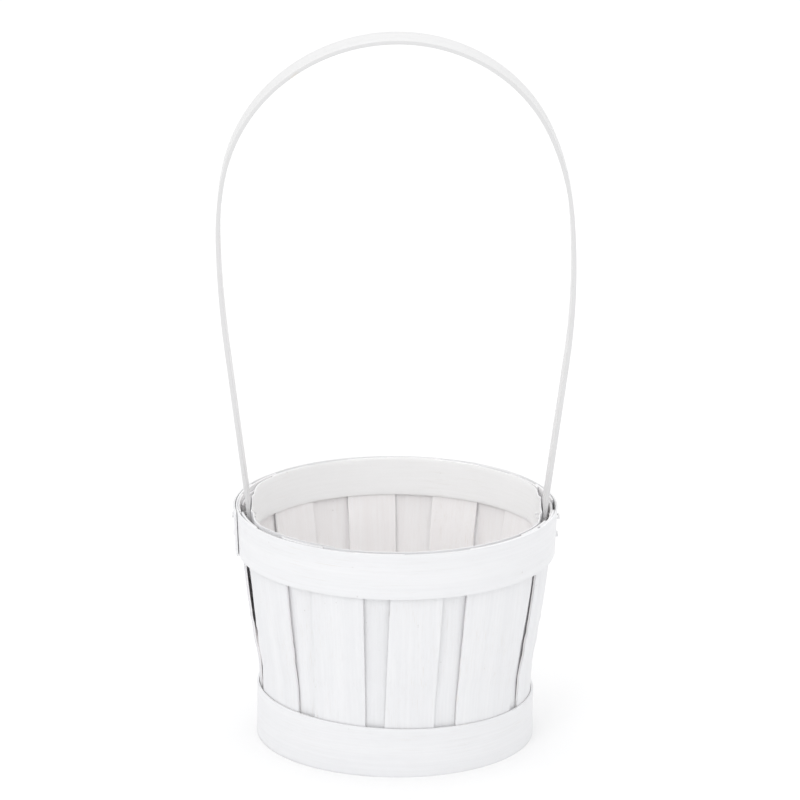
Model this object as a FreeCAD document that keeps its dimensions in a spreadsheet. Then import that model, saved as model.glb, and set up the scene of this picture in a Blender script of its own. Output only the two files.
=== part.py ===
import FreeCAD, Part

import math
import os

import Sketcher

# A flower girl basket of bent veneer. Two layers of thin upright staves stand round a
# plywood bottom, one hoop binds them at the foot, two hoops grip them at the rim, and a
# tall bow of the same veneer, stapled between the rim hoops, is the handle.
# Millimetres. +Z is up, -Y is the front, and the handle spans X. The origin is the centre
# of the bottom, on the surface that the basket stands on. A bearing is an angle in
# degrees round the basket, counted from the front towards +X.

DIMENSIONS = {
    # Tapered wall, as radii of the outer staves' outer faces
    "wall_radius_foot": 58.95,
    "wall_radius_heel": 58.95,
    "wall_radius_knee": 66.55,
    "wall_radius_top": 68.35,
    "wall_heel_height": 23.8,
    "wall_knee_height": 82.8,
    "wall_height": 102.0,
    "stave_thickness": 0.95,
    "stave_clearance": 0.08,
    # Rim hoops
    "rim_height": 103.2,
    "rim_hoop_bottom": 82.8,
    "rim_radius_top": 70.0,
    "rim_radius_bottom": 68.6,
    "rim_thickness": 1.35,
    "rim_lap_angle": 36.0,
    "rim_lap_rise": 0.4,
    "inner_hoop_bottom": 86.8,
    "inner_hoop_thickness": 1.1,
    "inner_hoop_half_x_top": 62.5,
    "inner_hoop_half_x_bottom": 60.9,
    "inner_hoop_half_y_top": 66.2,
    "inner_hoop_half_y_bottom": 64.7,
    # Base hoop, whose sawn top slopes: base_hoop_rise higher at -X, as much lower at +X
    "base_hoop_height": 21.7,
    "base_radius_top": 59.95,
    "base_radius_bottom": 60.0,
    "base_hoop_thickness": 0.85,
    "base_hoop_rise": 1.42,
    "base_lap_angle": 24.0,
    # Plywood bottom
    "disc_radius": 56.85,
    "disc_thickness": 4.0,
    "disc_edge_break": 0.4,
    # Bow handle: a flat strip that is bent in the XZ plane and leans a little to -X
    "handle_width": 16.5,
    "handle_thickness": 1.8,
    "crown_x": -0.5,
    "crown_height": 309.5,
    "left_crown_radius": 76.8,
    "left_shoulder_radius": 71.7,
    "left_flank_radius": 133.9,
    "left_leg_radius": 448.0,
    "left_crown_turn": 43.8,
    "left_shoulder_turn": 35.8,
    "left_flank_turn": 11.8,
    "left_lean": 7.4,
    "right_crown_radius": 73.6,
    "right_shoulder_radius": 68.2,
    "right_flank_radius": 104.2,
    "right_leg_radius": 296.0,
    "right_crown_turn": 31.8,
    "right_shoulder_turn": 32.8,
    "right_flank_turn": 20.0,
    "right_lean": 7.3,
    "leg_bend_height": 106.0,
    "leg_bend_radius": 200.0,
    "leg_lean_inside": 6.0,
    "leg_foot_height": 45.0,
    # Wire staples
    "staple_wire": 0.7,
    "staple_crown": 6.0,
    "staple_play": 0.06,
    "handle_staple_length": 10.4,
    "base_staple_length": 5.2,
}

# One row per stave: bearing of its middle, width at the top and at the foot in mm, and
# lean, which is how many degrees its top stands further round than its foot.
OUTER_STAVES = [
    (6.3, 22.9, 21.9, 3.0), (42.3, 42.1, 30.4, 4.4), (74.0, 24.0, 23.0, 1.0),
    (106.0, 23.5, 23.5, 0.0), (138.2, 24.0, 23.0, -1.0), (172.5, 24.5, 24.5, 1.0),
    (207.4, 24.0, 23.4, 0.0), (240.0, 23.5, 23.0, 1.0), (267.5, 24.0, 21.5, 1.5),
    (300.5, 29.3, 34.0, 4.4), (336.25, 23.6, 25.0, 2.9),
]
INNER_STAVES = [
    (21.0, 22.0, 22.0, 1.0), (61.3, 22.5, 22.5, 1.0), (90.0, 22.0, 22.0, 0.0),
    (122.2, 22.5, 22.0, 0.0), (155.8, 22.0, 21.5, 0.0), (189.4, 21.8, 21.8, 0.0),
    (224.2, 22.8, 22.8, 0.0), (256.0, 22.0, 22.0, 0.0), (286.5, 22.0, 22.0, 1.0),
    (322.0, 22.0, 22.0, 1.0), (352.7, 22.0, 22.0, 1.0),
]

# Heights of the two staples in each leg of the handle, and in the lap of the base hoop
HANDLE_STAPLE_HEIGHTS = (90.0, 98.0)
BASE_STAPLE_HEIGHTS = (6.0, 15.0)
BASE_LAP_BEARING = 172.5

# Height of the base hoop before its top is sawn off on a slope
BASE_BLANK_HEIGHT = "base_hoop_height + base_hoop_rise"

# Bearing at which the lap in the outer rim hoop starts; it runs on to just past -X
RIM_LAP_BEARING = 247.0
BEARING_OF_X = 90.0

doc = FreeCAD.newDocument("flower_girl_basket")
sheet = doc.addObject("Spreadsheet::Sheet", "Dimensions")
for row, (alias, value) in enumerate(DIMENSIONS.items(), start=1):
    sheet.set("A%d" % row, alias)
    sheet.set("B%d" % row, str(value))
    sheet.setAlias("B%d" % row, alias)
doc.recompute()


def dim(alias):
    """The value of a cell of the sheet."""
    return float(sheet.get(alias))


def cells(formula):
    """A formula of cell names, as an expression on the sheet."""
    words = formula.split()
    return " ".join("Dimensions." + word if word in DIMENSIONS else word for word in words)


def sheet_value(formula):
    """The value of a formula that adds and subtracts cells."""
    total = 0.0
    sign = 1.0
    for word in formula.split():
        if word in "+-":
            sign = 1.0 if word == "+" else -1.0
        else:
            total += sign * dim(word)
    return total


def turned(bearing):
    """The placement that turns a piece made along +X to a bearing."""
    turn = FreeCAD.Rotation(FreeCAD.Vector(0, 0, 1), bearing - BEARING_OF_X)
    return FreeCAD.Placement(FreeCAD.Vector(0, 0, 0), turn)


def add_body(name):
    """A new body with its label."""
    body = doc.addObject("PartDesign::Body", name)
    body.Label = name
    return body


def add_sketch(body, name, plane_role, height=None):
    """A sketch on one of the body's own planes, raised by a formula of cells."""
    sketch = body.newObject("Sketcher::SketchObject", name)
    planes = [item for item in body.Origin.OriginFeatures if item.Role == plane_role]
    sketch.AttachmentSupport = [(planes[0], "")]
    sketch.MapMode = "FlatFace"
    if height:
        sketch.setExpression("AttachmentOffset.Base.z", cells(height))
    return sketch


def bind(sketch, constraint, formula):
    """Add a constraint and drive it with a formula of cells."""
    index = sketch.addConstraint(constraint)
    sketch.setExpression("Constraints[%d]" % index, cells(formula))


def sector_sketch(body, name, height, outer, inner, start, end):
    """A sector of a ring: radii are formulas of cells, start and end are degrees."""
    sketch = add_sketch(body, name, "XY_Plane", height)
    centre = FreeCAD.Vector(0, 0, 0)
    up = FreeCAD.Vector(0, 0, 1)
    radii = [sheet_value(outer), sheet_value(inner)]
    angles = [math.radians(start), math.radians(end)]
    for radius in radii:
        circle = Part.Circle(centre, up, radius)
        sketch.addGeometry(Part.ArcOfCircle(circle, angles[0], angles[1]))
    for angle in angles:
        ray = FreeCAD.Vector(math.cos(angle), math.sin(angle), 0)
        sketch.addGeometry(Part.LineSegment(ray * radii[1], ray * radii[0]))
    for arc in (0, 1):
        sketch.addConstraint(Sketcher.Constraint("Coincident", arc, 3, -1, 1))
        line_end = 2 - arc
        sketch.addConstraint(Sketcher.Constraint("Coincident", arc, 1, 2, line_end))
        sketch.addConstraint(Sketcher.Constraint("Coincident", arc, 2, 3, line_end))
    bind(sketch, Sketcher.Constraint("Radius", 0, radii[0]), outer)
    bind(sketch, Sketcher.Constraint("Radius", 1, radii[1]), inner)
    for line, angle in zip((2, 3), angles):
        sketch.addConstraint(Sketcher.Constraint("Angle", line, angle))
    return sketch


def stave(name, bearing, top_width, foot_width, lean, inset):
    """A strip of veneer that rises upright out of the base hoop, slants outwards, and is
    bent steeper again between the rim hoops. It is curved to the wall's radius."""
    body = add_body(name)
    levels = [("foot", None), ("heel", "wall_heel_height"), ("knee", "wall_knee_height"),
              ("top", "wall_height")]
    sketches = []
    for level, height in levels:
        outer = "wall_radius_" + level + inset
        inner = outer + " - stave_thickness"
        share = dim(height) / dim("wall_height") if height else 0.0
        middle = lean * (share - 0.5)
        width = foot_width + (top_width - foot_width) * share
        half = math.degrees(width / 2 / sheet_value(outer))
        sketches.append(sector_sketch(body, name + "_" + level, height, outer, inner,
                                      middle - half, middle + half))
    loft = body.newObject("PartDesign::AdditiveLoft", name + "_loft")
    loft.Profile = sketches[0]
    loft.Sections = sketches[1:]
    loft.Ruled = True
    body.Placement = turned(bearing)
    return body


def band_sketch(body, name, outer_top, outer_bottom, thickness, top, bottom):
    """The slanted section of a hoop in the XZ plane, with every corner driven by cells."""
    sketch = add_sketch(body, name, "XZ_Plane")
    corners = [
        (outer_bottom, bottom),
        (outer_top, top),
        (outer_top + " - " + thickness, top),
        (outer_bottom + " - " + thickness, bottom),
    ]
    points = [FreeCAD.Vector(sheet_value(x), sheet_value(z) if z else 0.0, 0)
              for x, z in corners]
    for index, point in enumerate(points):
        sketch.addGeometry(Part.LineSegment(point, points[(index + 1) % 4]))
    for index, (x, z) in enumerate(corners):
        following = (index + 1) % 4
        sketch.addConstraint(Sketcher.Constraint("Coincident", index, 2, following, 1))
        distance = Sketcher.Constraint("DistanceX", -1, 1, index, 1, points[index].x)
        bind(sketch, distance, x)
        if z:
            rise = Sketcher.Constraint("DistanceY", -1, 1, index, 1, points[index].y)
            bind(sketch, rise, z)
        else:
            sketch.addConstraint(Sketcher.Constraint("PointOnObject", index, 1, -1))
    return sketch


def spun(body, name, sketch, angle):
    """Turn a sketch about the basket's axis."""
    turn = body.newObject("PartDesign::Revolution", name)
    turn.Profile = sketch
    turn.ReferenceAxis = (sketch, ["V_Axis"])
    if angle:
        turn.setExpression("Angle", cells(angle))
    else:
        turn.Angle = 360.0
    return turn


def hoop(name, outer_top, outer_bottom, thickness, top, bottom, lap_rise, lap_angle):
    """A hoop of veneer: a full turn, and the tail that laps over the start of it."""
    body = add_body(name)
    ring = band_sketch(body, name + "_section", outer_top, outer_bottom, thickness, top, bottom)
    spun(body, name + "_turn", ring, None)
    rise = " + " + lap_rise
    tail = band_sketch(body, name + "_lap_section", outer_top + rise, outer_bottom + rise,
                       thickness, top, bottom)
    spun(body, name + "_lap", tail, lap_angle)
    return body


def oval_sketch(body, name, height, half_x, half_y):
    """An oval that is longer along Y, centred on the basket's axis."""
    sketch = add_sketch(body, name, "XY_Plane", height)
    along_y = FreeCAD.Vector(0, sheet_value(half_y), 0)
    along_x = FreeCAD.Vector(sheet_value(half_x), 0, 0)
    sketch.addGeometry(Part.Ellipse(along_y, along_x, FreeCAD.Vector(0, 0, 0)))
    sketch.exposeInternalGeometry(0)
    sketch.addConstraint(Sketcher.Constraint("Coincident", 0, 3, -1, 1))
    for line in (1, 2):
        direction = sketch.Geometry[line].EndPoint - sketch.Geometry[line].StartPoint
        upright = abs(direction.y) > abs(direction.x)
        length = direction.Length
        bind(sketch, Sketcher.Constraint("Distance", line, length),
             half_y + " + " + half_y if upright else half_x + " + " + half_x)
        if upright:
            sketch.addConstraint(Sketcher.Constraint("Vertical", line))
    return sketch


def inner_hoop(name):
    """The inner rim hoop, pressed into an oval by the handle's legs at +X and -X."""
    body = add_body(name)
    levels = [("bottom", "inner_hoop_bottom"), ("top", "rim_height")]
    for kind, inset in (("Additive", ""), ("Subtractive", " - inner_hoop_thickness")):
        ovals = [
            oval_sketch(body, "_".join((name, kind, level)), height,
                        "inner_hoop_half_x_" + level + inset,
                        "inner_hoop_half_y_" + level + inset)
            for level, height in levels
        ]
        loft = body.newObject("PartDesign::" + kind + "Loft", name + "_" + kind + "_loft")
        loft.Profile = ovals[0]
        loft.Sections = ovals[1:]
        loft.Ruled = True
    return body


class StripOutline:
    """Both faces of a bent strip, drawn from a chain of tangent arcs and runs."""

    def __init__(self, side, start_x, start_z, thickness):
        self.side = side
        self.half = thickness / 2
        self.point = FreeCAD.Vector(start_x, start_z, 0)
        self.heading = 0.0
        self.edges = []

    def ahead(self):
        angle = math.radians(self.heading)
        return FreeCAD.Vector(self.side * math.cos(angle), -math.sin(angle), 0)

    def outward(self):
        angle = math.radians(self.heading)
        return FreeCAD.Vector(self.side * math.sin(angle), math.cos(angle), 0)

    def bend(self, radius, turn):
        """An arc that turns the strip down by so many degrees, or back if turn is less than 0."""
        hand = 1.0 if turn > 0 else -1.0
        centre = self.point - self.outward() * radius * hand
        rays = []
        for _ in range(3):
            rays.append(self.outward() * hand)
            self.heading += turn / 2
        self.heading -= turn / 2
        for offset in (self.half, -self.half):
            span = radius + offset * hand
            points = [centre + ray * span for ray in rays]
            self.edges.append(Part.Arc(*points))
        self.point = centre + rays[2] * radius

    def run(self, drop):
        """A straight run that ends so much lower."""
        length = drop / math.sin(math.radians(self.heading))
        goal = self.point + self.ahead() * length
        for offset in (self.half, -self.half):
            shift = self.outward() * offset
            self.edges.append(Part.LineSegment(self.point + shift, goal + shift))
        self.point = goal

    def close(self):
        """The square cut end of the strip."""
        shift = self.outward() * self.half
        self.edges.append(Part.LineSegment(self.point + shift, self.point - shift))


def handle_side(side, prefix):
    """The outline of the handle from the middle of the crown to one foot."""
    strip = StripOutline(side, dim("crown_x"), dim("crown_height"), dim("handle_thickness"))
    for stretch in ("crown", "shoulder", "flank"):
        strip.bend(dim(prefix + stretch + "_radius"), dim(prefix + stretch + "_turn"))
    upright = 90.0 + dim(prefix + "lean")
    strip.bend(dim(prefix + "leg_radius"), upright - strip.heading)
    strip.run(strip.point.y - dim("leg_bend_height"))
    inside = 90.0 + dim("leg_lean_inside")
    strip.bend(dim("leg_bend_radius"), inside - strip.heading)
    strip.run(strip.point.y - dim("leg_foot_height"))
    strip.close()
    return strip.edges


def handle(name):
    """The bow handle: its bent outline, as thick as the strip, padded to the strip's width."""
    body = add_body(name)
    sketch = add_sketch(body, name + "_outline", "XZ_Plane")
    edges = handle_side(-1.0, "left_") + handle_side(1.0, "right_")
    sketch.addGeometry(edges)
    pad = body.newObject("PartDesign::Pad", name + "_pad")
    pad.Profile = sketch
    pad.SideType = "Symmetric"
    pad.setExpression("Length", cells("handle_width"))
    return body


def disc(name):
    """The plywood bottom, with its two edges broken."""
    body = add_body(name)
    sketch = add_sketch(body, name + "_outline", "XY_Plane")
    radius = dim("disc_radius")
    circle = Part.Circle(FreeCAD.Vector(0, 0, 0), FreeCAD.Vector(0, 0, 1), radius)
    sketch.addGeometry(circle)
    sketch.addConstraint(Sketcher.Constraint("Coincident", 0, 3, -1, 1))
    bind(sketch, Sketcher.Constraint("Radius", 0, radius), "disc_radius")
    pad = body.newObject("PartDesign::Pad", name + "_pad")
    pad.Profile = sketch
    pad.setExpression("Length", cells("disc_thickness"))
    doc.recompute()
    rims = ["Edge%d" % number for number, edge in enumerate(pad.Shape.Edges, start=1)
            if isinstance(edge.Curve, Part.Circle)]
    broken = body.newObject("PartDesign::Chamfer", name + "_edges")
    broken.Base = (pad, rims)
    broken.setExpression("Size", cells("disc_edge_break"))
    return body


def bar(name, length, width, thickness):
    """A box along X whose sizes are formulas of cells."""
    box = doc.addObject("Part::Box", name)
    box.setExpression("Length", cells(length))
    box.setExpression("Width", cells(width))
    box.setExpression("Height", cells(thickness))
    return box


def staple(name, place, height, crown_radius, length):
    """A staple whose crown lies outside a hoop: (the U of wire, the two holes for its legs)."""
    wire = dim("staple_wire")
    crown = dim("staple_crown")
    play = dim("staple_play")
    reach = dim(length)
    whole = bar(name + "_blank", length, "staple_crown", "staple_wire")
    between = bar(name + "_mouth", length, "staple_crown - staple_wire - staple_wire",
                  "staple_wire + staple_wire + staple_wire")
    start = crown_radius + wire - reach
    whole.Placement = place * FreeCAD.Placement(
        FreeCAD.Vector(start, -crown / 2, height - wire / 2), FreeCAD.Rotation())
    between.Placement = place * FreeCAD.Placement(
        FreeCAD.Vector(start - wire, -crown / 2 + wire, height - 1.5 * wire),
        FreeCAD.Rotation())
    wire_u = doc.addObject("Part::Cut", name)
    wire_u.Base = whole
    wire_u.Tool = between
    holes = []
    for number, side in enumerate((-1.0, 1.0), start=1):
        hole = bar(name + "_hole_%d" % number, length + " + staple_wire",
                   "staple_wire + staple_play + staple_play",
                   "staple_wire + staple_play + staple_play")
        middle = side * (crown - wire) / 2
        corner = FreeCAD.Vector(start - wire / 2, middle - wire / 2 - play,
                                height - wire / 2 - play)
        hole.Placement = place * FreeCAD.Placement(corner, FreeCAD.Rotation())
        holes.append(hole)
    return wire_u, holes


def group(name, members):
    """Several solids that share one node."""
    compound = doc.addObject("Part::Compound", name)
    compound.Links = members
    compound.Label = name
    return compound


def pierced(piece, name, holes):
    """A piece with the holes that staple legs pass through."""
    piece.Label = name + "_blank"
    tool = doc.addObject("Part::Compound", name + "_holes")
    tool.Links = holes
    cut = doc.addObject("Part::Cut", name + "_pierced")
    cut.Base = piece
    cut.Tool = tool
    cut.Label = name
    return cut


def sloped(piece, name):
    """A hoop whose top is sawn off on a slope that falls towards +X."""
    saw = bar(name + "_saw", "rim_radius_top + rim_radius_top",
              "rim_radius_top + rim_radius_top", "rim_height")
    slope = math.degrees(math.atan2(dim("base_hoop_rise"), dim("base_radius_top")))
    middle = FreeCAD.Placement(FreeCAD.Vector(0, 0, dim("base_hoop_height")),
                               FreeCAD.Rotation(FreeCAD.Vector(0, 1, 0), slope))
    reach = dim("rim_radius_top")
    corner = FreeCAD.Placement(FreeCAD.Vector(-reach, -reach, 0), FreeCAD.Rotation())
    saw.Placement = middle * corner
    piece.Label = name + "_ring"
    cut = doc.addObject("Part::Cut", name + "_sloped")
    cut.Base = piece
    cut.Tool = saw
    return cut


def hoop_face(top, bottom, rise_top, rise_bottom, height):
    """The radius of a hoop's outer face at a height."""
    share = (height - rise_bottom) / (rise_top - rise_bottom)
    return bottom + (top - bottom) * share


def rim_face(height):
    return hoop_face(dim("rim_radius_top"), dim("rim_radius_bottom"),
                     dim("rim_height"), dim("rim_hoop_bottom"), height)


def base_face(height):
    return hoop_face(dim("base_radius_top"), dim("base_radius_bottom"),
                     sheet_value(BASE_BLANK_HEIGHT), 0.0, height)


# Wire staples first, because the wooden pieces take their holes from them
handle_wires, left_holes, right_holes = [], [], []
for tier, height in enumerate(HANDLE_STAPLE_HEIGHTS, start=1):
    seat = rim_face(height) + dim("staple_play")
    wire, holes = staple("right_staple_%d" % tier, turned(BEARING_OF_X), height, seat,
                         "handle_staple_length")
    handle_wires.append(wire)
    right_holes += holes
    wire, holes = staple("left_staple_%d" % tier, turned(BEARING_OF_X + 180.0), height,
                         seat + dim("rim_lap_rise"), "handle_staple_length")
    handle_wires.append(wire)
    left_holes += holes

base_wires, base_holes = [], []
for tier, height in enumerate(BASE_STAPLE_HEIGHTS, start=1):
    seat = base_face(height) + dim("base_hoop_thickness") + dim("staple_play")
    wire, holes = staple("base_staple_%d" % tier, turned(BASE_LAP_BEARING), height, seat,
                         "base_staple_length")
    base_wires.append(wire)
    base_holes += holes

parts = [group("handle_staples", handle_wires), group("base_hoop_staples", base_wires)]

parts.append(disc("base_disc"))

base_ring = hoop("base_hoop", "base_radius_top", "base_radius_bottom", "base_hoop_thickness",
                 BASE_BLANK_HEIGHT, None, "base_hoop_thickness", "base_lap_angle")
base_ring.Placement = turned(BASE_LAP_BEARING - dim("base_lap_angle") / 2)
parts.append(pierced(sloped(base_ring, "base_hoop"), "base_hoop", base_holes))

rim_ring = hoop("outer_rim_hoop", "rim_radius_top", "rim_radius_bottom", "rim_thickness",
                "rim_height", "rim_hoop_bottom", "rim_lap_rise", "rim_lap_angle")
rim_ring.Placement = turned(RIM_LAP_BEARING)
parts.append(pierced(rim_ring, "outer_rim_hoop", left_holes + right_holes))
parts.append(pierced(inner_hoop("inner_rim_hoop"), "inner_rim_hoop",
                     left_holes + right_holes))
parts.append(pierced(handle("handle"), "handle", left_holes + right_holes))

# The staves that the staples pass through: the one behind each leg, and the one under the
# lap of the base hoop
stave_holes = {
    "outer_stave_06": base_holes,
    "outer_stave_09": left_holes,
    "inner_stave_03": right_holes,
}
inner_inset = " - stave_thickness - stave_clearance"
for layer, rows, inset in (("outer", OUTER_STAVES, ""), ("inner", INNER_STAVES, inner_inset)):
    for number, row in enumerate(rows, start=1):
        name = "%s_stave_%02d" % (layer, number)
        strip = stave(name, *row, inset)
        if name in stave_holes:
            strip = pierced(strip, name, stave_holes[name])
        parts.append(strip)

doc.recompute()

failed = [item.Name for item in doc.Objects
          if "Invalid" in item.State or "Error" in item.State]
if failed:
    raise RuntimeError("failed objects: " + ", ".join(failed))
for item in parts:
    if item.Shape.isNull() or not item.Shape.isValid():
        raise RuntimeError("bad shape: " + item.Label)

os.makedirs("parts", exist_ok=True)
for item in parts:
    item.Shape.exportStep(os.path.join("parts", item.Label + ".step"))
    print(item.Label, len(item.Shape.Solids), "solid,", round(item.Shape.Volume, 1), "mm3")
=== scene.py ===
import math
import random

import bmesh
import bpy
from mathutils import Matrix, Vector


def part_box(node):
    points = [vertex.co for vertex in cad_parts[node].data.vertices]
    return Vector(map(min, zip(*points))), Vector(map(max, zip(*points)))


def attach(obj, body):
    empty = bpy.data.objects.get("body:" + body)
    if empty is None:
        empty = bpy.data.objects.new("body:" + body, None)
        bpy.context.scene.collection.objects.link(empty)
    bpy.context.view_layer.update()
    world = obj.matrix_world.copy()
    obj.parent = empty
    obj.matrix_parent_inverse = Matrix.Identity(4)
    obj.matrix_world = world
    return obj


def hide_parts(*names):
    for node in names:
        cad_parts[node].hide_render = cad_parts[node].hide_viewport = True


# A white painted flower girl basket, made the way a basket maker builds one: thin veneer
# staves are cut from a turned wall, hoops are wound from strips whose tails lap over their
# starts, and the handle is bent from one strip. Metres, +Z up, front towards -Y.

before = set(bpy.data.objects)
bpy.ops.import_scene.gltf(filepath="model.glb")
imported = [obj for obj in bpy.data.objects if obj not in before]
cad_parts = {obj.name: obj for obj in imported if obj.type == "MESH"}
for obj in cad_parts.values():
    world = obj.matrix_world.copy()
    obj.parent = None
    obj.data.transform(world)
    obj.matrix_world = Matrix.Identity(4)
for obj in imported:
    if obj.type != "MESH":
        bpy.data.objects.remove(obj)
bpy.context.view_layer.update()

MM = 0.001
ORIGIN = (0.0, 0.0, 0.0)
BODY = "root"
random.seed(29)


# ---------------------------------------------------------------- reading the frame

def node_points(node):
    """The corner points of a node of the frame."""
    return [vertex.co.copy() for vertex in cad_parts[node].data.vertices]


def heading_of(point):
    """Angle of a point about the basket's axis, from +X towards +Y."""
    return math.atan2(point.y, point.x)


def reach_of(point):
    """Distance of a point from the basket's axis."""
    return math.hypot(point.x, point.y)


def ray(angle):
    """A level unit vector that points away from the axis."""
    return Vector((math.cos(angle), math.sin(angle), 0.0))


def wall_levels(node):
    """(height, radius of the outer face) at each height where a stave's slant changes."""
    levels = {}
    for point in node_points(node):
        height = round(point.z, 4)
        levels[height] = max(levels.get(height, 0.0), reach_of(point))
    return sorted(levels.items())


def stave_sides(node):
    """Headings of a stave's two long edges: ((foot, top) of one side, (foot, top) of the other)."""
    points = node_points(node)
    centre = sum(points, Vector()) / len(points)
    middle = heading_of(centre)
    sides = []
    for pick in (min, max):
        ends = []
        for height in (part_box(node)[0].z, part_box(node)[1].z):
            level = [p for p in points if abs(p.z - height) < 0.2 * MM]
            turns = [math.remainder(heading_of(p) - middle, math.tau) for p in level]
            ends.append(middle + pick(turns))
        sides.append(tuple(ends))
    return sides


def hoop_sizes(node):
    """A hoop's outer radii at its foot and brim and its thickness, read at the front."""
    front = [p for p in node_points(node)
             if abs(math.remainder(heading_of(p) + math.pi / 2, math.tau)) < math.radians(4)]
    middle = (min(p.z for p in front) + max(p.z for p in front)) / 2
    foot = [reach_of(p) for p in front if p.z < middle]
    brim = [reach_of(p) for p in front if p.z > middle]
    return max(foot), max(brim), max(brim) - min(brim)


# ---------------------------------------------------------------- bench tools

def pick_only(obj):
    """Select one object and nothing else."""
    bpy.ops.object.select_all(action="DESELECT")
    obj.select_set(True)
    bpy.context.view_layer.objects.active = obj


def open_mesh(obj):
    pick_only(obj)
    bpy.ops.object.mode_set(mode="EDIT")


def close_mesh():
    bpy.ops.object.mode_set(mode="OBJECT")


def new_piece(name):
    """Name the primitive that was just added and put its place into its mesh."""
    obj = bpy.context.active_object
    obj.name = name
    obj.data.name = name
    bpy.ops.object.transform_apply(location=True, rotation=True, scale=True)
    return obj


def choose(obj, kind, test):
    """In edit mode, select the vertices, edges or faces that pass a test, and no others."""
    bpy.ops.mesh.select_mode(type={"verts": "VERT", "edges": "EDGE", "faces": "FACE"}[kind])
    bpy.ops.mesh.select_all(action="DESELECT")
    shape = bmesh.from_edit_mesh(obj.data)
    for item in getattr(shape, kind):
        item.select_set(test(item))
    shape.select_flush(True)
    bmesh.update_edit_mesh(obj.data)


def turn_selection(angle, centre=ORIGIN, axis="Z"):
    """Rotate what is selected; the operator turns the other way when there is no window."""
    bpy.ops.transform.rotate(value=-angle, orient_axis=axis, orient_type="GLOBAL",
                             center_override=centre)


def apply_modifier(obj, kind, **settings):
    """Add a modifier, set it and apply it."""
    modifier = obj.modifiers.new(kind.lower(), kind)
    for key, value in settings.items():
        setattr(modifier, key, value)
    pick_only(obj)
    bpy.ops.object.modifier_apply(modifier=modifier.name)


def copy_piece(source, name):
    """A copy with a mesh of its own."""
    obj = source.copy()
    obj.data = source.data.copy()
    obj.name = name
    obj.data.name = name
    bpy.context.collection.objects.link(obj)
    return obj


def discard(obj):
    bpy.data.objects.remove(obj, do_unlink=True)


def tidy_shell(obj):
    """Merge doubles and point every face outwards on a closed piece."""
    open_mesh(obj)
    bpy.ops.mesh.select_all(action="SELECT")
    bpy.ops.mesh.remove_doubles(threshold=0.001 * MM)
    bpy.ops.mesh.normals_make_consistent(inside=False)
    close_mesh()


def ease_edges(obj, width, segments=2, angle=35):
    """Round the sharp edges, as sanding and paint do, and shade the rest smooth."""
    apply_modifier(obj, "BEVEL", width=width, segments=segments, limit_method="ANGLE",
                   angle_limit=math.radians(angle), harden_normals=False)
    pick_only(obj)
    bpy.ops.object.shade_smooth_by_angle(angle=math.radians(40))


def mark_strip(obj, locate):
    """Store where each point lies in the flat strip: along the grain, across it, through it."""
    mesh = obj.data
    flat = mesh.attributes.new("strip", "FLOAT_VECTOR", "POINT")
    shift = Vector((random.uniform(0, 5), random.uniform(0, 5), random.uniform(0, 5)))
    for index, vertex in enumerate(mesh.vertices):
        flat.data[index].vector = locate(vertex.co) + shift


warp = bpy.data.textures.new("slow_warp", "CLOUDS")
warp.noise_scale = 0.035
warp.noise_depth = 1


def warp_piece(obj, strength):
    """Let thin wood wander a little from its true shape."""
    apply_modifier(obj, "DISPLACE", texture=warp, texture_coords="LOCAL", strength=strength,
                   mid_level=0.5)


# ---------------------------------------------------------------- staves

WALL_FACETS = 240
WALL_ROWS = 36
BEND_SOFTNESS = 7 * MM
TOP_SPARE = 0.9 * MM
STAVE_THICKNESS = 0.95 * MM
STAVE_WARP = 0.5 * MM
STAVE_EDGE = 0.16 * MM


def wall_radius(levels, height):
    """Radius of the wall at a height, with its bends rounded off."""
    total = 0.0
    samples = 7
    for index in range(samples):
        spread = (index / (samples - 1) - 0.5) * 2 * BEND_SOFTNESS
        total += straight_radius(levels, height + spread)
    return total / samples


def straight_radius(levels, height):
    """Radius of the wall at a height, straight from level to level."""
    for (low, low_radius), (high, high_radius) in zip(levels, levels[1:]):
        if height <= high or high == levels[-1][0]:
            share = (height - low) / (high - low)
            share = max(0.0, share) if low == levels[0][0] else share
            return low_radius + (high_radius - low_radius) * share
    return levels[-1][1]


def turn_wall(name, levels):
    """The whole tapered wall as one thin sheet, drawn up ring by ring from its foot."""
    low, high = levels[0][0], levels[-1][0] + TOP_SPARE
    radius = wall_radius(levels, low)
    bpy.ops.object.select_all(action="DESELECT")
    bpy.ops.mesh.primitive_circle_add(vertices=WALL_FACETS, radius=radius,
                                      fill_type="NOTHING", location=(0, 0, low))
    wall = new_piece(name)
    open_mesh(wall)
    bpy.ops.mesh.select_all(action="SELECT")
    step = (high - low) / WALL_ROWS
    for row in range(1, WALL_ROWS + 1):
        height = low + row * step
        wider = wall_radius(levels, height)
        bpy.ops.mesh.extrude_region_move(TRANSFORM_OT_translate={"value": (0, 0, step)})
        bpy.ops.transform.resize(value=(wider / radius, wider / radius, 1.0),
                                 center_override=(0, 0, height))
        radius = wider
    close_mesh()
    first = wall.data.polygons[0]
    if first.normal.dot(Vector((first.center.x, first.center.y, 0.0))) < 0:
        open_mesh(wall)
        bpy.ops.mesh.select_all(action="SELECT")
        bpy.ops.mesh.flip_normals()
        close_mesh()
    return wall


def saw_side(levels, foot_heading, top_heading, outward):
    """Saw the open sheet along one long edge of a stave, keeping what lies inside."""
    foot = ray(foot_heading) * levels[0][1] + Vector((0, 0, levels[0][0]))
    top = ray(top_heading) * levels[-1][1] + Vector((0, 0, levels[-1][0]))
    away = ray((foot_heading + top_heading) / 2)
    normal = (top - foot).cross(away).normalized()
    if normal.dot(ray((foot_heading + top_heading) / 2 + outward * math.pi / 2)) < 0:
        normal = -normal
    bpy.ops.mesh.select_all(action="SELECT")
    bpy.ops.mesh.bisect(plane_co=foot, plane_no=normal, clear_outer=True, clear_inner=False)


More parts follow.
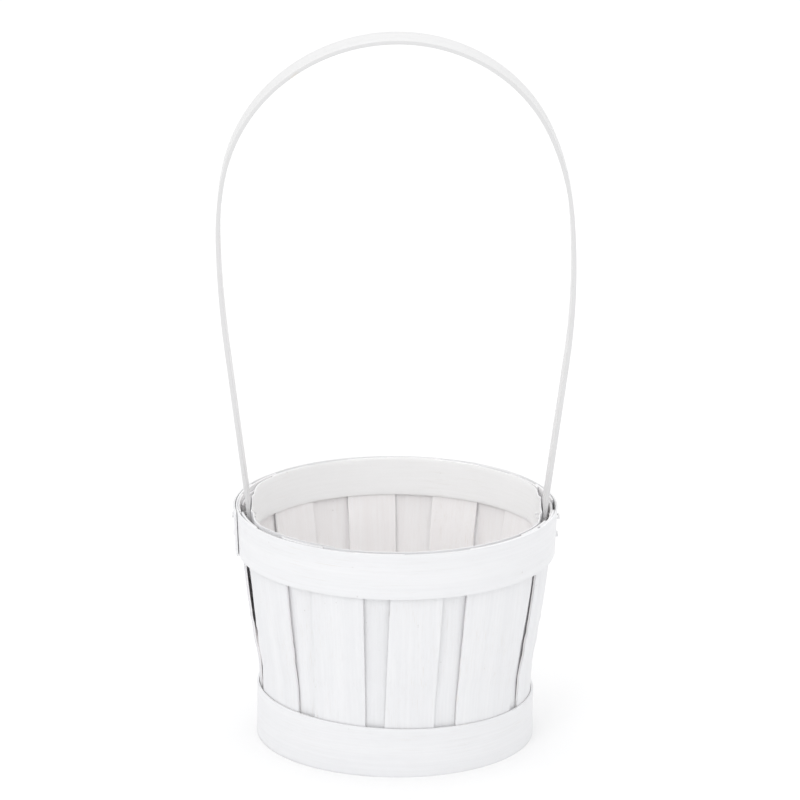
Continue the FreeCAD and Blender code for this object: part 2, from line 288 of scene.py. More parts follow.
def cut_stave(node, wall, levels, lifts):
    """One stave: sawn from the wall, warped, curled at its edges, thickened and eased."""
    stave = copy_piece(wall, node + "_veneer")
    sides = stave_sides(node)
    open_mesh(stave)
    for (foot, top), outward in zip(sides, (-1.0, 1.0)):
        saw_side(levels, foot, top, outward)
    trim = random.uniform(-0.8, 0.1) * MM
    bpy.ops.mesh.select_all(action="SELECT")
    bpy.ops.mesh.bisect(plane_co=(0, 0, levels[-1][0] - trim),
                        plane_no=(random.uniform(-0.02, 0.02), random.uniform(-0.02, 0.02), 1),
                        clear_outer=True)
    for (foot, top), lift in zip(sides, lifts):
        if lift:
            curl_edge(stave, levels, foot, top, lift)
    close_mesh()
    warp_piece(stave, STAVE_WARP)
    apply_modifier(stave, "SOLIDIFY", thickness=STAVE_THICKNESS, offset=-1.0,
                   use_even_offset=True)
    tidy_shell(stave)
    ease_edges(stave, STAVE_EDGE)
    middle = (sides[0][0] + sides[1][1]) / 2

    def locate(point):
        turn = math.remainder(heading_of(point) - middle, math.tau)
        reach = reach_of(point)
        return Vector((point.z, turn * reach, reach))

    mark_strip(stave, locate)
    return stave


def curl_edge(stave, levels, foot, top, lift):
    """Lift one long edge off the wall, most in the upper half, as drying veneer does."""
    low, high = levels[0][0], levels[-1][0]

    def near_edge(vertex):
        share = (vertex.co.z - low) / (high - low)
        line = foot + (top - foot) * share
        gap = abs(math.remainder(heading_of(vertex.co) - line, math.tau)) * reach_of(vertex.co)
        return gap < 0.3 * MM and 0.42 < share < 0.72

    choose(stave, "verts", near_edge)
    away = ray((foot + top) / 2) * lift
    bpy.ops.transform.translate(value=away, use_proportional_edit=True,
                                use_proportional_connected=True,
                                proportional_edit_falloff="SMOOTH",
                                proportional_size=16 * MM)


# ---------------------------------------------------------------- hoops

HOOP_STEP = 3.0
HOOP_ROWS = 9
HOOP_EDGE = 0.22 * MM
HOOP_WARP = 0.25 * MM
GLUE_LINE = 0.05 * MM
TAIL_CURL = 0.05 * MM
TAIL_RISE = 0.25 * MM
MERGE_ANGLE = 15.0
PRESS_REACH = 24 * MM
LEG_HUG = 0.3 * MM
SAW_SPARE = 1 * MM


def strip_section(name, width, thickness, rows, place, turn):
    """The cut end of a strip, a small grid that the strip is drawn out from."""
    bpy.ops.object.select_all(action="DESELECT")
    bpy.ops.mesh.primitive_grid_add(x_subdivisions=2, y_subdivisions=rows, size=1.0,
                                    location=place, rotation=turn)
    bpy.context.active_object.scale = (thickness, width, 1.0)
    return new_piece(name)


def lap_profile(angle, lap, thickness, rise, thin, side):
    """Shift from the hoop's own layer and thickness of the strip, at an angle from its
    start. Both ends should be skived where they overlap, but the rim hoops don't follow the
    thickness (see squeeze_radially). The tail lies outside if side is 1."""

    def start_thickness(along):
        share = min(1.0, max(0.0, along / lap))
        return thickness * (thin + (1.0 - thin) * share)

    def shift_of(inner, depth):
        return side * (inner + depth / 2 - thickness / 2)

    if angle < 360.0 - MERGE_ANGLE:
        depth = start_thickness(angle)
        return shift_of(0.0, depth), depth
    under = start_thickness(max(0.0, angle - 360.0))
    depth = thickness + rise - under - GLUE_LINE
    shift = shift_of(under + GLUE_LINE, depth)
    share = min(1.0, (angle - 360.0 + MERGE_ANGLE) / MERGE_ANGLE)
    share = share * share * (3 - 2 * share)
    curl = max(0.0, angle - 360.0 - lap + 2 * HOOP_STEP) / (2 * HOOP_STEP)
    return shift * share + side * TAIL_CURL * curl, thickness + (depth - thickness) * share


def wind_hoop(name, sizes, low, high, start, lap, rise, thin=0.45, side=1.0):
    """Wind a strip once round and on over its own start, as far out as lap_profile says."""
    foot_radius, brim_radius, thickness = sizes
    height = high - low
    slant = math.atan2(brim_radius - foot_radius, height)
    middle = (foot_radius + brim_radius - thickness) / 2
    shift, depth = lap_profile(0.0, lap, thickness, rise, thin, side)
    hoop = strip_section(name, height / math.cos(slant), depth, HOOP_ROWS,
                         (middle + shift, 0, (low + high) / 2), (math.pi / 2, slant, 0))
    open_mesh(hoop)
    bpy.ops.mesh.select_all(action="SELECT")
    turn_selection(math.radians(start))
    raised = 0.0
    for step in range(1, round((360.0 + lap) / HOOP_STEP) + 1):
        angle = step * HOOP_STEP
        wanted, thick = lap_profile(angle, lap, thickness, rise, thin, side)
        climb = TAIL_RISE * min(1.0, max(0.0, (angle - 360.0) / MERGE_ANGLE + 1.0)) - raised
        raised += climb
        bpy.ops.mesh.extrude_region_move(TRANSFORM_OT_translate={"value": (0, 0, climb)})
        turn_selection(math.radians(HOOP_STEP))
        out = ray(math.radians(start + angle))
        if abs(wanted - shift) > 1e-9:
            bpy.ops.transform.translate(value=out * (wanted - shift))
        if abs(thick - depth) > 1e-9:
            squeeze_radially(hoop, out, thick / depth)
        shift, depth = wanted, thick
    close_mesh()
    return hoop


def squeeze_radially(hoop, out, stretch):
    """Thin or thicken the selected section along the radius. The points of its two faces
    are paired by height, which works on the upright base hoop only: on the leaning rim
    hoops no two points share a height, so their sections keep their thickness."""
    shape = bmesh.from_edit_mesh(hoop.data)
    chosen = [vertex for vertex in shape.verts if vertex.select]
    rows = {}
    for vertex in chosen:
        rows.setdefault(round(vertex.co.z, 5), []).append(vertex)
    for row in rows.values():
        reach = sum(vertex.co.dot(out) for vertex in row) / len(row)
        for vertex in row:
            vertex.co += out * (vertex.co.dot(out) - reach) * (stretch - 1.0)
    bmesh.update_edit_mesh(hoop.data)


def finish_hoop(hoop, sizes, start, lap, thin=0.45, side=1.0, trim=None):
    """Warp, trim and ease a wound hoop; its grain runs on round both of its laps."""
    foot_radius, brim_radius, thickness = sizes
    tidy_shell(hoop)
    warp_piece(hoop, HOOP_WARP)
    if trim:
        trim(hoop)
    low = min(vertex.co.z for vertex in hoop.data.vertices)
    high = max(vertex.co.z for vertex in hoop.data.vertices)
    ease_edges(hoop, HOOP_EDGE)

    def locate(point):
        turn = (heading_of(point) - math.radians(start)) % math.tau
        share = (point.z - low) / (high - low)
        outer = foot_radius + (brim_radius - foot_radius) * share
        depth = outer - reach_of(point) if side < 0 else reach_of(point) - outer + thickness
        under = thickness * (thin + (1.0 - thin) * math.degrees(turn) / lap)
        if math.degrees(turn) < lap and depth > under:
            turn += math.tau
        return Vector((turn * brim_radius, point.z, depth))

    mark_strip(hoop, locate)
    return hoop


def outer_rim(start=157.0, lap=33.0):
    """The hoop outside the staves' tops; its tail is glued down just past -X. It stays as
    thin as its skived start all the way round."""
    sizes = hoop_sizes("outer_rim_hoop")
    low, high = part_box("outer_rim_hoop")
    hoop = wind_hoop("outer_rim_hoop_strip", sizes, low.z, high.z, start, lap, 0.3 * MM)
    return finish_hoop(hoop, sizes, start, lap)


def inner_rim(start=222.0, lap=24.0):
    """The hoop inside the staves' tops, pressed inwards where the handle's legs stand. It
    stays as thin as its skived start all the way round."""
    sizes = hoop_sizes("inner_rim_hoop")
    low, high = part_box("inner_rim_hoop")
    hoop = wind_hoop("inner_rim_hoop_strip", sizes, low.z, high.z, start, lap, 0.4 * MM,
                     side=-1.0)
    leg = (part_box("handle")[1].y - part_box("handle")[0].y) / 2 + 1.5 * MM
    open_mesh(hoop)
    for hand in (-1.0, 1.0):
        choose(hoop, "verts", lambda vertex: vertex.co.x * hand > 0 and abs(vertex.co.y) < leg)
        bpy.ops.transform.translate(value=(hand * (high.x - high.y + LEG_HUG), 0, 0),
                                    use_proportional_edit=True,
                                    use_proportional_connected=False,
                                    proportional_edit_falloff="SMOOTH",
                                    proportional_size=PRESS_REACH)
        for away in (1, 2, 3):
            flatten_by_leg(hoop, hand, math.radians(away * HOOP_STEP), sizes[1])
    close_mesh()
    return finish_hoop(hoop, sizes, start, lap, side=-1.0)


def flatten_by_leg(hoop, hand, angle, radius):
    """Bring the two sections of the hoop at an angle from the leg up to its flat face."""
    level = radius * math.sin(angle)
    near = radius * math.radians(HOOP_STEP) / 2
    choose(hoop, "verts", lambda vertex: (vertex.co.x * hand > 0
                                          and abs(abs(vertex.co.y) - level) < near))
    bpy.ops.transform.translate(value=(hand * radius * (1 - math.cos(angle)), 0, 0))


def base_band(start=70.5, lap=24.0):
    """The hoop round the foot, sawn to a slope along its top; its ends aren't skived. The
    cut at its foot isn't filled all the way round, so its underside has open edges."""
    points = node_points("base_hoop")
    sizes = hoop_sizes("base_hoop")
    low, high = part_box("base_hoop")
    lower = max(p.z for p in points if p.x > high.x - 2 * MM)
    slope = math.atan2(high.z - lower, high.x - low.x)
    cuts = [((0, 0, (high.z + lower) / 2), (math.sin(slope), 0, math.cos(slope))),
            (ORIGIN, (0, 0, -1))]
    hoop = wind_hoop("base_hoop_strip", sizes, low.z - SAW_SPARE, high.z + SAW_SPARE, start,
                     lap, sizes[2], thin=1.0)

    def saw_edges(band):
        open_mesh(band)
        for place, normal in cuts:
            bpy.ops.mesh.select_all(action="SELECT")
            bpy.ops.mesh.bisect(plane_co=place, plane_no=normal, clear_outer=True,
                                use_fill=True)
        close_mesh()
        tidy_shell(band)

    return finish_hoop(hoop, sizes, start, lap, thin=1.0, trim=saw_edges)


# ---------------------------------------------------------------- handle

# Bends of the strip from the middle of the crown outwards: (radius, degrees turned down)
LEFT_BENDS = [(76.8 * MM, 43.8), (71.7 * MM, 35.8), (133.9 * MM, 11.8), (448.0 * MM, 6.0)]
RIGHT_BENDS = [(73.6 * MM, 31.8), (68.2 * MM, 32.8), (104.2 * MM, 20.0), (296.0 * MM, 12.7)]
CROWN_X = -0.5 * MM
LEG_BEND_HEIGHT = 106 * MM
LEG_BEND_RADIUS = 200 * MM
LEG_LEAN_INSIDE = 6.0
HANDLE_EDGE = 0.35 * MM
BEND_STEP = 2.5


def draw_strip(side, bends, centre_line):
    """Draw the selected end of the strip from the crown down to one foot."""
    point = Vector((CROWN_X, 0.0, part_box("handle")[1].z - handle_thickness() / 2))
    turned = 0.0
    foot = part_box("handle")[0].z
    centre_line.append(point.copy())

    def bend(radius, degrees):
        nonlocal point, turned
        hand = 1.0 if degrees > 0 else -1.0
        out = Vector((side * math.sin(math.radians(turned)), 0.0,
                      math.cos(math.radians(turned))))
        centre = point - out * radius * hand
        steps = max(2, math.ceil(max(abs(degrees) / BEND_STEP,
                                     abs(math.radians(degrees)) * radius / (6 * MM))))
        for _ in range(steps):
            angle = math.radians(degrees / steps)
            bpy.ops.mesh.extrude_region_move(TRANSFORM_OT_translate={"value": (0, 0, 0)})
            turn_selection(side * angle, centre=centre, axis="Y")
            turned += degrees / steps
            out = Vector((side * math.sin(math.radians(turned)), 0.0,
                          math.cos(math.radians(turned))))
            point = centre + out * radius * hand
            centre_line.append(point.copy())

    def run(height):
        nonlocal point
        angle = math.radians(turned)
        ahead = Vector((side * math.cos(angle), 0.0, -math.sin(angle)))
        length = (point.z - height) / math.sin(angle)
        steps = math.ceil(length / (8 * MM))
        for _ in range(steps):
            move = ahead * length / steps
            bpy.ops.mesh.extrude_region_move(TRANSFORM_OT_translate={"value": move})
            point = point + move
            centre_line.append(point.copy())

    for radius, degrees in bends:
        bend(radius, degrees)
    run(LEG_BEND_HEIGHT)
    bend(LEG_BEND_RADIUS, 90.0 + LEG_LEAN_INSIDE - turned)
    run(foot)


def handle_thickness():
    """Twice the distance from the crown's top to the middle of the strip."""
    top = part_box("handle")[1].z
    inner = max(p.z for p in node_points("handle")
                if abs(p.x - CROWN_X) < 6 * MM and p.z < top - 1 * MM)
    return top - inner


def bend_handle():
    low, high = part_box("handle")
    width = high.y - low.y
    thickness = handle_thickness()
    bpy.ops.object.select_all(action="DESELECT")
    handle = strip_section("handle_strip", width, thickness, 4,
                           (CROWN_X, 0, high.z - thickness / 2), (0, math.pi / 2, 0))
    # The first section stands across the strip in the middle of the crown. One leg is drawn
    # out of it, and then the other leg out of the same section.
    centre_line = []
    other = copy_piece(handle, "handle_other_leg")
    for half, side, bends in ((handle, -1.0, LEFT_BENDS), (other, 1.0, RIGHT_BENDS)):
        open_mesh(half)
        bpy.ops.mesh.select_all(action="SELECT")
        draw_strip(side, bends, centre_line)
        choose(half, "faces", lambda face: abs(face.calc_center_median().x - CROWN_X) < 1e-6)
        bpy.ops.mesh.delete(type="ONLY_FACE")
        close_mesh()
    pick_only(handle)
    other.select_set(True)
    bpy.ops.object.join()
    open_mesh(handle)
    bpy.ops.mesh.select_all(action="SELECT")
    bpy.ops.mesh.remove_doubles(threshold=0.02 * MM)
    close_mesh()
    tidy_shell(handle)
    ease_edges(handle, HANDLE_EDGE, segments=3)
    left = [p for p in centre_line if p.x <= CROWN_X + 1e-6]
    right = [p for p in centre_line if p.x > CROWN_X + 1e-6]

    def locate(point):
        line = left if point.x <= CROWN_X else right
        flat = Vector((point.x, 0.0, point.z))
        nearest = min(range(len(line)), key=lambda i: (line[i] - flat).length_squared)
        along = sum((line[i + 1] - line[i]).length for i in range(nearest))
        if 0 < nearest < len(line) - 1:
            tangent = (line[nearest + 1] - line[nearest - 1]).normalized()
            along += (flat - line[nearest]).dot(tangent)
            through = (flat - line[nearest]).dot(Vector((tangent.z, 0, -tangent.x)))
        else:
            through = 0.0
        sign = -1.0 if line is left else 1.0
        return Vector((sign * along, point.y, through))

    mark_strip(handle, locate)
    return handle


# ---------------------------------------------------------------- bottom disc

def turn_disc():
    low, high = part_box("base_disc")
    bpy.ops.object.select_all(action="DESELECT")
    bpy.ops.mesh.primitive_cylinder_add(vertices=120, radius=high.x, depth=high.z - low.z,
                                        location=(0, 0, (low.z + high.z) / 2))
    disc = new_piece("base_disc_plywood")
    open_mesh(disc)
    choose(disc, "faces", lambda face: abs(face.normal.z) > 0.9)
    for inset in (6, 10, 12, 12):
        bpy.ops.mesh.inset(thickness=inset * MM)
    close_mesh()
    ease_edges(disc, 0.4 * MM, segments=3)
    mark_strip(disc, lambda point: point.copy())
    return disc


# ---------------------------------------------------------------- finishes

def put(tree, kind, settings=None, **inputs):
    """Add a shader node. An input is named as its socket is, with _ for a blank, or i0, i1
    and so on by its place; its value is a number or another node's output."""
    shader = tree.nodes.new("ShaderNode" + kind)
    for key, value in (settings or {}).items():
        setattr(shader, key, value)
    for name, value in inputs.items():
        by_place = name[0] == "i" and name[1:].isdigit()
        socket = shader.inputs[int(name[1:]) if by_place else name.replace("_", " ")]
        if isinstance(value, bpy.types.NodeSocket):
            tree.links.new(value, socket)
        else:
            socket.default_value = value
    return shader


def start_group(name, inputs, outputs):
    """A node group with named sockets, and its input and output nodes."""
    group = bpy.data.node_groups.new(name, "ShaderNodeTree")
    for label, kind, value in inputs:
        socket = group.interface.new_socket(label, in_out="INPUT", socket_type=kind)
        if value is not None:
            socket.default_value = value
    for label in outputs:
        group.interface.new_socket(label, in_out="OUTPUT", socket_type="NodeSocketFloat")
    return group, group.nodes.new("NodeGroupInput"), group.nodes.new("NodeGroupOutput")


def scaled(tree, vector, factors):
    return put(tree, "VectorMath", {"operation": "MULTIPLY"}, i0=vector, i1=factors).outputs[0]


def noise_on(tree, vector, detail=3.0, roughness=0.55, size=1.0):
    return put(tree, "TexNoise", {"noise_dimensions": "3D"}, Vector=vector, Scale=size,
               Detail=detail, Roughness=roughness).outputs[0]


def ranged(tree, value, low, high, to_low=0.0, to_high=1.0):
    return put(tree, "MapRange", {"clamp": True}, i0=value, i1=low, i2=high, i3=to_low,
               i4=to_high).outputs[0]


def combine(tree, operation, first, second):
    return put(tree, "Math", {"operation": operation}, i0=first, i1=second).outputs[0]


def make_wood_grain():
    """Veneer grain that shows through thin paint: lines, open pores and wide bands, all
    drawn out along the strip."""
    group, given, result = start_group(
        "wood_grain",
        [("Strip", "NodeSocketVector", None), ("Line Contrast", "NodeSocketFloat", 1.0)],
        ["Lines", "Pores", "Bands"])
    strip = given.outputs["Strip"]
    sway = noise_on(group, scaled(group, strip, (14, 40, 40)), detail=1.0)
    push = put(group, "CombineXYZ", Y=combine(group, "MULTIPLY", sway, 0.0012)).outputs[0]
    swayed = put(group, "VectorMath", {"operation": "ADD"}, i0=strip, i1=push).outputs[0]
    lines = noise_on(group, scaled(group, swayed, (16, 900, 300)), detail=4.0, roughness=0.6)
    sharper = ranged(group, lines, 0.36, 0.68)
    lined = combine(group, "MULTIPLY", sharper, given.outputs["Line Contrast"])
    group.links.new(lined, result.inputs["Lines"])
    pores = noise_on(group, scaled(group, swayed, (70, 3600, 1200)), detail=2.0)
    group.links.new(ranged(group, pores, 0.60, 0.72), result.inputs["Pores"])
    bands = noise_on(group, scaled(group, swayed, (5, 160, 60)), detail=2.0)
    group.links.new(ranged(group, bands, 0.35, 0.68), result.inputs["Bands"])
    return group


def make_brushed_paint():
    """How the paint lies: brush strokes along the strip, and slow thick and thin places."""
    group, given, result = start_group(
        "brushed_paint",
        [("Strip", "NodeSocketVector", None), ("Place", "NodeSocketVector", None)],
        ["Strokes", "Thin Places"])
    strokes = noise_on(group, scaled(group, given.outputs["Strip"], (45, 520, 520)), detail=3.0)
    group.links.new(ranged(group, strokes, 0.3, 0.7), result.inputs["Strokes"])
    slow = noise_on(group, given.outputs["Place"], detail=3.0, size=38.0)
    group.links.new(ranged(group, slow, 0.42, 0.72), result.inputs["Thin Places"])
    return group


def make_wall_face():
    """1 on faces that look inwards at the basket's axis, 0 on the ones that look out."""
    group, given, result = start_group(
        "wall_face", [("Place", "NodeSocketVector", None)], ["Inside"])
    out = scaled(group, given.outputs["Place"], (1, 1, 0))
    out = put(group, "VectorMath", {"operation": "NORMALIZE"}, i0=out).outputs[0]
    normal = put(group, "NewGeometry").outputs["Normal"]
    facing = put(group, "VectorMath", {"operation": "DOT_PRODUCT"}, i0=out, i1=normal)
    group.links.new(ranged(group, facing.outputs["Value"], 0.1, -0.1), result.inputs["Inside"])
    return group


def make_edge_wear_and_shade():
    """Rubbed corners, broken up by noise; painted shade in hollows, and painted shade in seams
    between parts from ambient occlusion.
    """
    group, given, result = start_group(
        "edge_wear_and_shade",
        [("Place", "NodeSocketVector", None), ("Wear", "NodeSocketFloat", 0.5)],
        ["Rubbed", "Hollow Shade", "Seam"])
    point = put(group, "NewGeometry").outputs["Pointiness"]
    patches = noise_on(group, given.outputs["Place"], detail=4.0, size=260.0)
    corner = ranged(group, point, 0.53, 0.62)
    patchy = ranged(group, patches, 0.48, 0.62)
    rubbed = combine(group, "MULTIPLY", combine(group, "MULTIPLY", corner, patchy),
                     given.outputs["Wear"])
    group.links.new(rubbed, result.inputs["Rubbed"])
    # Painted shade: the concave places, where pointiness is low, are made darker.
    group.links.new(ranged(group, point, 0.485, 0.43), result.inputs["Hollow Shade"])
    # Painted shade: ambient occlusion over about a millimetre darkens seams between parts and the
    # foot where it meets the floor.
    open_sky = put(group, "AmbientOcclusion", {"samples": 8}, Distance=1.1 * MM).outputs["AO"]
    group.links.new(ranged(group, open_sky, 0.80, 0.35), result.inputs["Seam"])
    return group


def make_paint_specks():
    """Rare small specks: dust and grit caught in the paint, and tiny bare pits."""
    group, given, result = start_group(
        "paint_specks", [("Place", "NodeSocketVector", None)], ["Specks", "Nibs"])
    dots = put(group, "TexVoronoi", Vector=given.outputs["Place"], Scale=330.0).outputs["Distance"]
    gate = noise_on(group, given.outputs["Place"], detail=0.0, size=130.0)
    speck = combine(group, "MULTIPLY", ranged(group, dots, 0.17, 0.08),
                    ranged(group, gate, 0.70, 0.74))
    group.links.new(speck, result.inputs["Specks"])
    nibs = put(group, "TexVoronoi", Vector=given.outputs["Place"], Scale=700.0).outputs["Distance"]
    group.links.new(ranged(group, nibs, 0.22, 0.05), result.inputs["Nibs"])
    return group


wood_grain = make_wood_grain()
brushed_paint = make_brushed_paint()
edge_wear_and_shade = make_edge_wear_and_shade()
paint_specks = make_paint_specks()
wall_face = make_wall_face()


def group_node(tree, group, **inputs):
    shader = tree.nodes.new("ShaderNodeGroup")
    shader.node_tree = group
    for name, value in inputs.items():
        socket = shader.inputs[name.replace("_", " ")]
        if isinstance(value, bpy.types.NodeSocket):
            tree.links.new(value, socket)
        else:
            socket.default_value = value
    return shader.outputs


def tint(tree, amount, under, over):
    """Colour 'under', going to colour 'over' where amount is 1."""
    mix = put(tree, "Mix", {"data_type": "RGBA", "blend_type": "MIX"})
    for socket, value in ((0, amount), (6, under), (7, over)):
        if isinstance(value, bpy.types.NodeSocket):
            tree.links.new(value, mix.inputs[socket])
        else:
            mix.inputs[socket].default_value = value
    return mix.outputs[2]


def painted_wood(name, outside, inside, wood, grain=0.5, bands=0.3, pores=0.2, wear=0.4,
                 roughness=0.5, relief=0.5, front_edge_shade=0.0):
    """White paint over wood. Outside and inside are each the paint's colour and the shade of
    its grain lines on the faces that look that way; the inside colours are lighter, painted
    light for the shaded inside of the basket. Wood is what wear lays bare. The last argument
    is how much darker the paint lies on edges that face front or back: painted shade."""
    material = bpy.data.materials.new(name)
    material.use_nodes = True
    tree = material.node_tree
    finish = tree.nodes["Principled BSDF"]
    strip = put(tree, "Attribute", {"attribute_name": "strip"}).outputs["Vector"]
    place = put(tree, "TexCoord").outputs["Object"]
    veneer = group_node(tree, wood_grain, Strip=strip, Line_Contrast=grain)
    film = group_node(tree, brushed_paint, Strip=strip, Place=place)
    edges = group_node(tree, edge_wear_and_shade, Place=place, Wear=wear)
    specks = group_node(tree, paint_specks, Place=place)
    inwards = group_node(tree, wall_face, Place=place)["Inside"]

    # Faces that look inwards take the inside colours, which are lighter than the outside ones:
    # painted light for the shaded inside of the basket.
    paint = tint(tree, inwards, outside[0], inside[0])
    shade = tint(tree, inwards, outside[1], inside[1])
    colour = tint(tree, veneer["Lines"], paint, shade)
    # Painted shade: faces that look front or back, which on the handle are its strip's edges, are
    # made darker.
    if front_edge_shade:
        normal = put(tree, "SeparateXYZ", Vector=put(tree, "NewGeometry").outputs["Normal"])
        level = combine(tree, "ABSOLUTE", normal.outputs["Y"], 0.0)
        colour = tint(tree, ranged(tree, level, 0.6, 0.85, 0.0, front_edge_shade), colour, FRONT_EDGE_SHADE)
    band = combine(tree, "MULTIPLY", veneer["Bands"], bands)
    colour = tint(tree, band, colour, shade)
    thin = combine(tree, "MULTIPLY", film["Thin Places"], veneer["Pores"])
    colour = tint(tree, combine(tree, "MULTIPLY", thin, pores), colour, wood)
    # Painted shade: darker in hollows, and greyer in the seams and crevices between parts.
    colour = tint(tree, combine(tree, "MULTIPLY", edges["Hollow Shade"], 0.35), colour, shade)
    colour = tint(tree, combine(tree, "MULTIPLY", edges["Seam"], 0.4), colour, CREVICE_SHADE)
    colour = tint(tree, edges["Rubbed"], colour, wood)
    colour = tint(tree, combine(tree, "MULTIPLY", specks["Specks"], 0.25), colour, GRIT)
    tree.links.new(colour, finish.inputs["Base Color"])

    dull = combine(tree, "MULTIPLY", film["Strokes"], 0.12)
    dull = combine(tree, "ADD", dull, roughness - 0.06)
    dull = combine(tree, "ADD", dull, combine(tree, "MULTIPLY", edges["Rubbed"], 0.25))
    tree.links.new(dull, finish.inputs["Roughness"])
    finish.inputs["Specular IOR Level"].default_value = 0.35

    height = combine(tree, "MULTIPLY", veneer["Lines"], -0.6)
    height = combine(tree, "ADD", height, combine(tree, "MULTIPLY", veneer["Pores"], -0.7))
    height = combine(tree, "ADD", height, combine(tree, "MULTIPLY", film["Strokes"], 0.35))
    height = combine(tree, "ADD", height, combine(tree, "MULTIPLY", specks["Nibs"], 0.12))
    bump = put(tree, "Bump", Strength=relief, Distance=0.12 * MM, Height=height)
    tree.links.new(bump.outputs[0], finish.inputs["Normal"])
    return material


def painted_wire():
    """Staple wire under the same paint: slick, with bare steel on its corners."""
    material = bpy.data.materials.new("painted_staple_wire")
    material.use_nodes = True
    tree = material.node_tree
    finish = tree.nodes["Principled BSDF"]
    place = put(tree, "TexCoord").outputs["Object"]
    edges = group_node(tree, edge_wear_and_shade, Place=place, Wear=0.5)
    film = group_node(tree, brushed_paint, Strip=place, Place=place)
    chips = ranged(tree, noise_on(tree, place, detail=3.0, size=900.0), 0.68, 0.72)
    bare = combine(tree, "MAXIMUM", edges["Rubbed"], chips)
    colour = tint(tree, film["Thin Places"], (0.85, 0.85, 0.86, 1), (0.76, 0.76, 0.76, 1))
    tree.links.new(tint(tree, bare, colour, (0.58, 0.58, 0.59, 1)), finish.inputs["Base Color"])
    tree.links.new(bare, finish.inputs["Metallic"])
    tree.links.new(ranged(tree, film["Strokes"], 0.0, 1.0, 0.32, 0.5),
                   finish.inputs["Roughness"])
    bump = put(tree, "Bump", Strength=0.5, Distance=0.05 * MM,
               Height=combine(tree, "SUBTRACT", film["Strokes"], bare))
    tree.links.new(bump.outputs[0], finish.inputs["Normal"])
    return material


GRIT = (0.38, 0.35, 0.32, 1)
# The colour of the painted shade in seams and crevices.
CREVICE_SHADE = (0.50, 0.49, 0.50, 1)
BIRCH = (0.66, 0.55, 0.40, 1)
# The colour of the painted shade on the handle's front and back edges.
FRONT_EDGE_SHADE = (0.56, 0.56, 0.565, 1)
COOL_PAINT = ((0.850, 0.853, 0.868, 1), (0.765, 0.77, 0.79, 1))
# The lighter whites below are for faces inside the basket: painted light for its shaded inside.
WARM_PAINT_INSIDE_LIT = ((0.978, 0.968, 0.970, 1), (0.91, 0.88, 0.875, 1))
PLAIN_PAINT_INSIDE_LIT = ((0.965, 0.965, 0.965, 1), (0.89, 0.89, 0.892, 1))
HANDLE_PAINT = ((0.785, 0.785, 0.788, 1), (0.72, 0.72, 0.725, 1))

finishes = {
    "stave": painted_wood("painted_veneer_stave", COOL_PAINT, WARM_PAINT_INSIDE_LIT, BIRCH,
                          grain=0.4, bands=0.4, pores=0.3, wear=0.15, roughness=0.55),
    "hoop": painted_wood("painted_hoop_strip", COOL_PAINT, PLAIN_PAINT_INSIDE_LIT, BIRCH,
                         grain=0.3, bands=0.25, pores=0.2, wear=0.15, roughness=0.45),
    "handle": painted_wood("painted_handle_strip", HANDLE_PAINT, HANDLE_PAINT, BIRCH,
                           grain=0.3, bands=0.2, pores=0.2, wear=0.25, roughness=0.42,
                           front_edge_shade=0.3),
    "base_disc": painted_wood("painted_plywood", WARM_PAINT_INSIDE_LIT, WARM_PAINT_INSIDE_LIT, BIRCH,
                              grain=0.6, bands=0.5, pores=0.6, wear=0.5, roughness=0.6,
                              relief=0.7),
    "staples": painted_wire(),
}


# ---------------------------------------------------------------- put together

made = {}
EDGE_LIFTS = {
    "outer_stave_10": (0.1 * MM, 0.2 * MM),
    "outer_stave_11": (0.2 * MM, 0.2 * MM),
    "outer_stave_01": (0.35 * MM, 0.1 * MM),
    "outer_stave_02": (0.15 * MM, 0.4 * MM),
    "inner_stave_05": (-0.3 * MM, -0.6 * MM),
    "inner_stave_06": (0.0, -0.6 * MM),
}
for layer in ("outer", "inner"):
    levels = wall_levels(layer + "_stave_01")
    wall = turn_wall(layer + "_wall", levels)
    for number in range(1, 12):
        node = "%s_stave_%02d" % (layer, number)
        rest = (random.uniform(0.0, 0.35) * MM, random.uniform(0.0, 0.35) * MM)
        lifts = EDGE_LIFTS.get(node, rest if layer == "outer" else (0.0, 0.0))
        made[node] = cut_stave(node, wall, levels, lifts)
    discard(wall)
made["outer_rim_hoop"] = outer_rim()
made["inner_rim_hoop"] = inner_rim()
made["base_hoop"] = base_band()
made["handle"] = bend_handle()
made["base_disc"] = turn_disc()


def finish_for(node):
    """The finish of a piece, by a word in the name of the node that it stands for."""
    if "staples" in node:
        return finishes["staples"]
    for word, material in finishes.items():
        if word in node:
            return material


for node, piece in made.items():
    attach(piece, BODY)
    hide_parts(node)
    piece.data.materials.clear()
    piece.data.materials.append(finish_for(node))
for node in ("handle_staples", "base_hoop_staples"):
    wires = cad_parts[node].data.materials
    for index in range(len(wires)):
        wires[index] = finish_for(node)

# ---------------------------------------------------------------- studio

FLOOR_WIDTH = 8.0
LENS = 271.84
CAMERA_PLACE = (-0.02267, -2.4771, 0.90967)
SKY_STRENGTH = 0.93

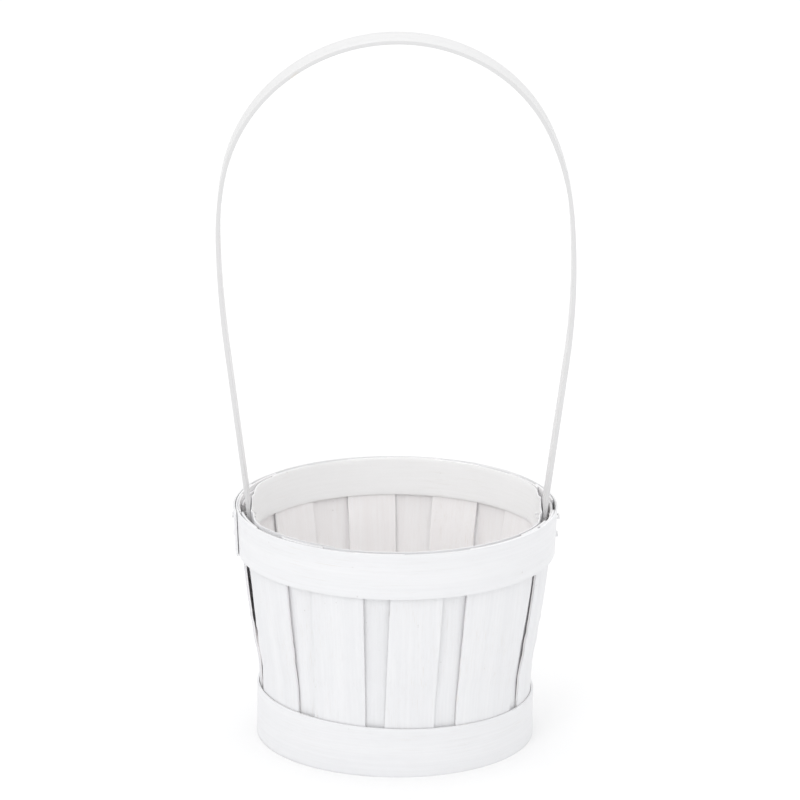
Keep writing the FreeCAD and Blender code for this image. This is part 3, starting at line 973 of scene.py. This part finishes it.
bpy.ops.object.select_all(action="DESELECT")
bpy.ops.mesh.primitive_plane_add(size=FLOOR_WIDTH, location=ORIGIN)
floor = bpy.context.active_object
floor.name = "studio_floor"
paper = bpy.data.materials.new("studio_paper")
paper.use_nodes = True
paper_finish = paper.node_tree.nodes["Principled BSDF"]
paper_finish.inputs["Base Color"].default_value = (0.95, 0.95, 0.95, 1)
paper_finish.inputs["Roughness"].default_value = 0.9
paper_finish.inputs["Specular IOR Level"].default_value = 0.1
floor.data.materials.append(paper)

camera_data = bpy.data.cameras.new("camera")
camera = bpy.data.objects.new("camera", camera_data)
bpy.context.collection.objects.link(camera)
camera_data.lens = LENS
yaw, pitch, roll = math.radians(0.552), math.radians(-17.048), math.radians(0.419)
ahead = Vector((math.sin(yaw) * math.cos(pitch), math.cos(yaw) * math.cos(pitch),
                math.sin(pitch)))
level_right = ahead.cross(Vector((0, 0, 1))).normalized()
level_up = level_right.cross(ahead)
right = level_right * math.cos(roll) + level_up * math.sin(roll)
up = level_up * math.cos(roll) - level_right * math.sin(roll)
camera.matrix_world = Matrix.Translation(CAMERA_PLACE) @ Matrix(
    (right, up, -ahead)).transposed().to_4x4()
bpy.context.scene.camera = camera


def soft_box(name, place, target, size, power):
    data = bpy.data.lights.new(name, "AREA")
    data.shape = "RECTANGLE"
    data.size, data.size_y = size
    data.energy = power
    light = bpy.data.objects.new(name, data)
    light.location = place
    light.rotation_euler = (Vector(target) - Vector(place)).to_track_quat("-Z", "Y").to_euler()
    bpy.context.collection.objects.link(light)


soft_box("key", (-0.9, -1.9, 1.6), (0, 0, 0.1), (0.9, 0.9), 7)
soft_box("top", (0.0, 0.4, 2.6), (0, 0.4, 0), (3.0, 3.0), 17)
world = bpy.data.worlds.new("studio")
world.use_nodes = True
world.node_tree.nodes["Background"].inputs["Color"].default_value = (1, 1, 1, 1)
world.node_tree.nodes["Background"].inputs["Strength"].default_value = SKY_STRENGTH
bpy.context.scene.world = world
bpy.context.scene.view_settings.view_transform = "Standard"
